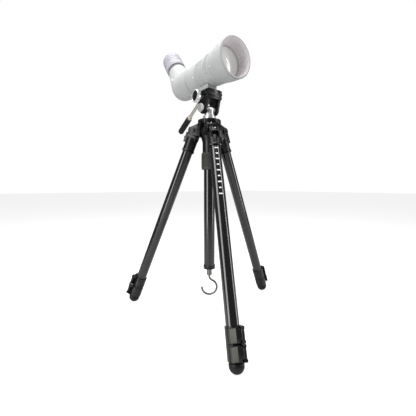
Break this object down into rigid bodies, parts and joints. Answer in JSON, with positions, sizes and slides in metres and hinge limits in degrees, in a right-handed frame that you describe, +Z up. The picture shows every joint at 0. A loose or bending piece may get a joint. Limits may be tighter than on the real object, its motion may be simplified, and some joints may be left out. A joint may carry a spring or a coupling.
{
  "type": "spotting scope on tripod",
  "caption": "Angled spotting scope with a flared objective bell on a two-way pan head and a folding aluminium tripod with flip-lever leg locks and a lifting centre column.",
  "frame": {"origin": "centre of the object's footprint on the floor", "axes": "+Z up, the scope looks along -Y, +X to the scope's left"},
  "size_m": [0.4085, 0.4497, 0.7384],
  "materials": {
    "cast_black": "black enamel on die-cast alloy",
    "tube_black": "gloss black anodised aluminium tube",
    "plastic_black": "fine-grained moulded nylon",
    "knob_black": "moulded nylon with a bright metal rim",
    "rubber_grey": "ribbed grey rubber",
    "rubber_black": "moulded rubber",
    "steel_bright": "bright turned steel",
    "cast_bright": "satin die-cast alloy",
    "scope_shell": "pale grey rubber armour",
    "scope_rubber": "pale grey ribbed rubber",
    "inner_black": "matt anti-reflection paint",
    "optical_glass": "coated optical glass"
  },
  "bodies": {
    "stand": {"hub": "cast_black", "pivot_bolts": "steel_bright"},
    "hub_knob": {"hub_knob": "plastic_black"},
    "column": {"column": "tube_black", "column_end_cap": "plastic_black", "pan_base": "cast_bright"},
    "collar": {"column_collar": "rubber_grey"},
    "hook": {"load_hook": "steel_bright"},
    "leg_1": {"leg_top_1": "cast_black", "upper_tube_1": "tube_black", "upper_collar_1": "plastic_black"},
    "tab_1": {"angle_tab_1": "plastic_black"},
    "upper_lever_1": {"upper_lever_1": "plastic_black"},
    "middle_1": {"middle_tube_1": "tube_black", "lower_collar_1": "plastic_black"},
    "lower_lever_1": {"lower_lever_1": "plastic_black"},
    "lower_1": {"lower_tube_1": "tube_black", "foot_1": "rubber_black"},
    "leg_2": {"leg_top_2": "cast_black", "upper_tube_2": "tube_black", "upper_collar_2": "plastic_black"},
    "tab_2": {"angle_tab_2": "plastic_black"},
    "upper_lever_2": {"upper_lever_2": "plastic_black"},
    "middle_2": {"middle_tube_2": "tube_black", "lower_collar_2": "plastic_black"},
    "lower_lever_2": {"lower_lever_2": "plastic_black"},
    "lower_2": {"lower_tube_2": "tube_black", "foot_2": "rubber_black"},
    "leg_3": {"leg_top_3": "cast_black", "upper_tube_3": "tube_black", "upper_collar_3": "plastic_black"},
    "tab_3": {"angle_tab_3": "plastic_black"},
    "upper_lever_3": {"upper_lever_3": "plastic_black"},
    "middle_3": {"middle_tube_3": "tube_black", "lower_collar_3": "plastic_black"},
    "lower_lever_3": {"lower_lever_3": "plastic_black"},
    "lower_3": {"lower_tube_3": "tube_black", "foot_3": "rubber_black"},
    "pan": {"tilt_tee": "cast_bright"},
    "platform": {"tilt_platform": "cast_black", "tilt_bolt": "steel_bright"},
    "friction": {"friction_knob": "steel_bright"},
    "clamp": {"clamp_knob": "knob_black"},
    "handle": {"handle_rod": "steel_bright", "handle_grip": "rubber_black"},
    "scope": {"quick_plate": "cast_black", "scope_foot": "scope_shell", "scope_barrel": "scope_shell", "objective_bell": "scope_shell", "objective_cell": "inner_black", "objective_lenses": "optical_glass", "prism_housing": "scope_shell", "erecting_prism": "optical_glass", "eyepiece_barrel": "inner_black", "eyepiece_lenses": "optical_glass"},
    "screw": {"plate_screw": "steel_bright"},
    "focus": {"focus_ring": "scope_rubber"},
    "focus_cell": {"focus_cell": "inner_black"},
    "zoom": {"zoom_ring": "scope_rubber"},
    "cup": {"eyecup": "scope_rubber"}
  },
  "joints": [
    {"name": "hub_knob_turn", "type": "hinge", "parent": "stand", "child": "hub_knob", "pos_m": [-0.0453, 0.0105, 0.49105], "axis": [-0.9954, -0.0958, 0], "range_deg": [-180, 180]},
    {"name": "collar_twist", "type": "hinge", "parent": "stand", "child": "collar", "pos_m": [-0.0453, 0.0105, 0.40565], "axis": [0, 0, 1], "range_deg": [-60, 60]},
    {"name": "column_lift", "type": "slide", "parent": "stand", "child": "column", "axis": [0, 0, 1], "range_m": [0, 0.23]},
    {"name": "hook_swivel", "type": "hinge", "parent": "column", "child": "hook", "pos_m": [-0.0453, 0.0105, 0.1297], "axis": [0, 0, 1], "continuous": true},
    {"name": "leg_spread_1", "type": "hinge", "parent": "stand", "child": "leg_1", "pos_m": [-0.06131, -0.02463, 0.48105], "axis": [-0.91, 0.4147, 0], "range_deg": [-21, 38]},
    {"name": "tab_slide_1", "type": "slide", "parent": "leg_1", "child": "tab_1", "axis": [-0.16, -0.3512, -0.9225], "range_m": [0, 0.005]},
    {"name": "upper_lever_flip_1", "type": "hinge", "parent": "leg_1", "child": "upper_lever_1", "pos_m": [-0.12954, -0.20449, 0.07021], "axis": [0.16, 0.3512, 0.9225], "range_deg": [0, 150]},
    {"name": "upper_slide_1", "type": "slide", "parent": "leg_1", "child": "middle_1", "axis": [-0.16, -0.3512, -0.9225], "range_m": [0, 0.33]},
    {"name": "lower_lever_flip_1", "type": "hinge", "parent": "middle_1", "child": "lower_lever_1", "pos_m": [-0.1344, -0.21517, 0.04216], "axis": [0.16, 0.3512, 0.9225], "range_deg": [0, 150]},
    {"name": "lower_slide_1", "type": "slide", "parent": "middle_1", "child": "lower_1", "axis": [-0.16, -0.3512, -0.9225], "range_m": [0, 0.33]},
    {"name": "leg_spread_2", "type": "hinge", "parent": "stand", "child": "leg_2", "pos_m": [-0.00688, 0.0142, 0.48105], "axis": [0.0958, -0.9954, 0], "range_deg": [-21, 38]},
    {"name": "tab_slide_2", "type": "slide", "parent": "leg_2", "child": "tab_2", "axis": [0.3841, 0.037, -0.9225], "range_m": [0, 0.005]},
    {"name": "upper_lever_flip_2", "type": "hinge", "parent": "leg_2", "child": "upper_lever_2", "pos_m": [0.18301, 0.04504, 0.07021], "axis": [-0.3841, -0.037, 0.9225], "range_deg": [0, 150]},
    {"name": "upper_slide_2", "type": "slide", "parent": "leg_2", "child": "middle_2", "axis": [0.3841, 0.037, -0.9225], "range_m": [0, 0.33]},
    {"name": "lower_lever_flip_2", "type": "hinge", "parent": "middle_2", "child": "lower_lever_2", "pos_m": [0.19468, 0.04617, 0.04216], "axis": [-0.3841, -0.037, 0.9225], "range_deg": [0, 150]},
    {"name": "lower_slide_2", "type": "slide", "parent": "middle_2", "child": "lower_2", "axis": [0.3841, 0.037, -0.9225], "range_m": [0, 0.33]},
    {"name": "leg_spread_3", "type": "hinge", "parent": "stand", "child": "leg_3", "pos_m": [-0.06771, 0.04192, 0.48105], "axis": [0.8141, 0.5807, 0], "range_deg": [-21, 38]},
    {"name": "tab_slide_3", "type": "slide", "parent": "leg_3", "child": "tab_3", "axis": [-0.2241, 0.3142, -0.9225], "range_m": [0, 0.005]},
    {"name": "upper_lever_flip_3", "type": "hinge", "parent": "leg_3", "child": "upper_lever_3", "pos_m": [-0.18937, 0.19095, 0.07021], "axis": [0.2241, -0.3142, 0.9225], "range_deg": [0, 150]},
    {"name": "upper_slide_3", "type": "slide", "parent": "leg_3", "child": "middle_3", "axis": [-0.2241, 0.3142, -0.9225], "range_m": [0, 0.33]},
    {"name": "lower_lever_flip_3", "type": "hinge", "parent": "middle_3", "child": "lower_lever_3", "pos_m": [-0.19618, 0.2005, 0.04216], "axis": [0.2241, -0.3142, 0.9225], "range_deg": [0, 150]},
    {"name": "lower_slide_3", "type": "slide", "parent": "middle_3", "child": "lower_3", "axis": [-0.2241, 0.3142, -0.9225], "range_m": [0, 0.33]},
    {"name": "pan_turn", "type": "hinge", "parent": "column", "child": "pan", "pos_m": [-0.0453, 0.0105, 0.50565], "axis": [0, 0, 1], "continuous": true},
    {"name": "tilt", "type": "hinge", "parent": "pan", "child": "platform", "pos_m": [-0.0453, 0.0105, 0.53365], "axis": [1, 0, 0], "range_deg": [-20, 60]},
    {"name": "friction_turn", "type": "hinge", "parent": "platform", "child": "friction", "pos_m": [-0.0453, 0.0105, 0.53365], "axis": [1, 0, 0], "range_deg": [-180, 180]},
    {"name": "clamp_turn", "type": "hinge", "parent": "platform", "child": "clamp", "pos_m": [-0.0453, 0.0155, 0.56065], "axis": [1, 0, 0], "range_deg": [-180, 180]},
    {"name": "handle_twist", "type": "hinge", "parent": "platform", "child": "handle", "pos_m": [-0.0603, 0.0225, 0.55915], "axis": [0, 0.8526, -0.5225], "range_deg": [-180, 180]},
    {"name": "plate_slide", "type": "slide", "parent": "platform", "child": "scope", "axis": [0, 1, 0], "range_m": [-0.012, 0.012]},
    {"name": "screw_turn", "type": "hinge", "parent": "scope", "child": "screw", "pos_m": [-0.0453, 0.0105, 0.57765], "axis": [0, 0, 1], "range_deg": [-180, 180]},
    {"name": "focus_turn", "type": "hinge", "parent": "scope", "child": "focus", "pos_m": [-0.0453, 0.0105, 0.62265], "axis": [0, -1, 0], "range_deg": [-120, 120]},
    {"name": "focus_travel", "type": "slide", "parent": "scope", "child": "focus_cell", "axis": [0, -1, 0], "range_m": [-0.0085, 0.0085]},
    {"name": "zoom_turn", "type": "hinge", "parent": "scope", "child": "zoom", "pos_m": [-0.0453, 0.173, 0.68171], "axis": [0, 0.6018, 0.7986], "range_deg": [0, 110]},
    {"name": "eyecup_slide", "type": "slide", "parent": "scope", "child": "cup", "axis": [0, 0.6018, 0.7986], "range_m": [0, 0.009]}
  ],
  "couplings": [
    {"joint": "focus_travel", "follows": "focus_turn", "m_per_rad": 0.004}
  ]
}
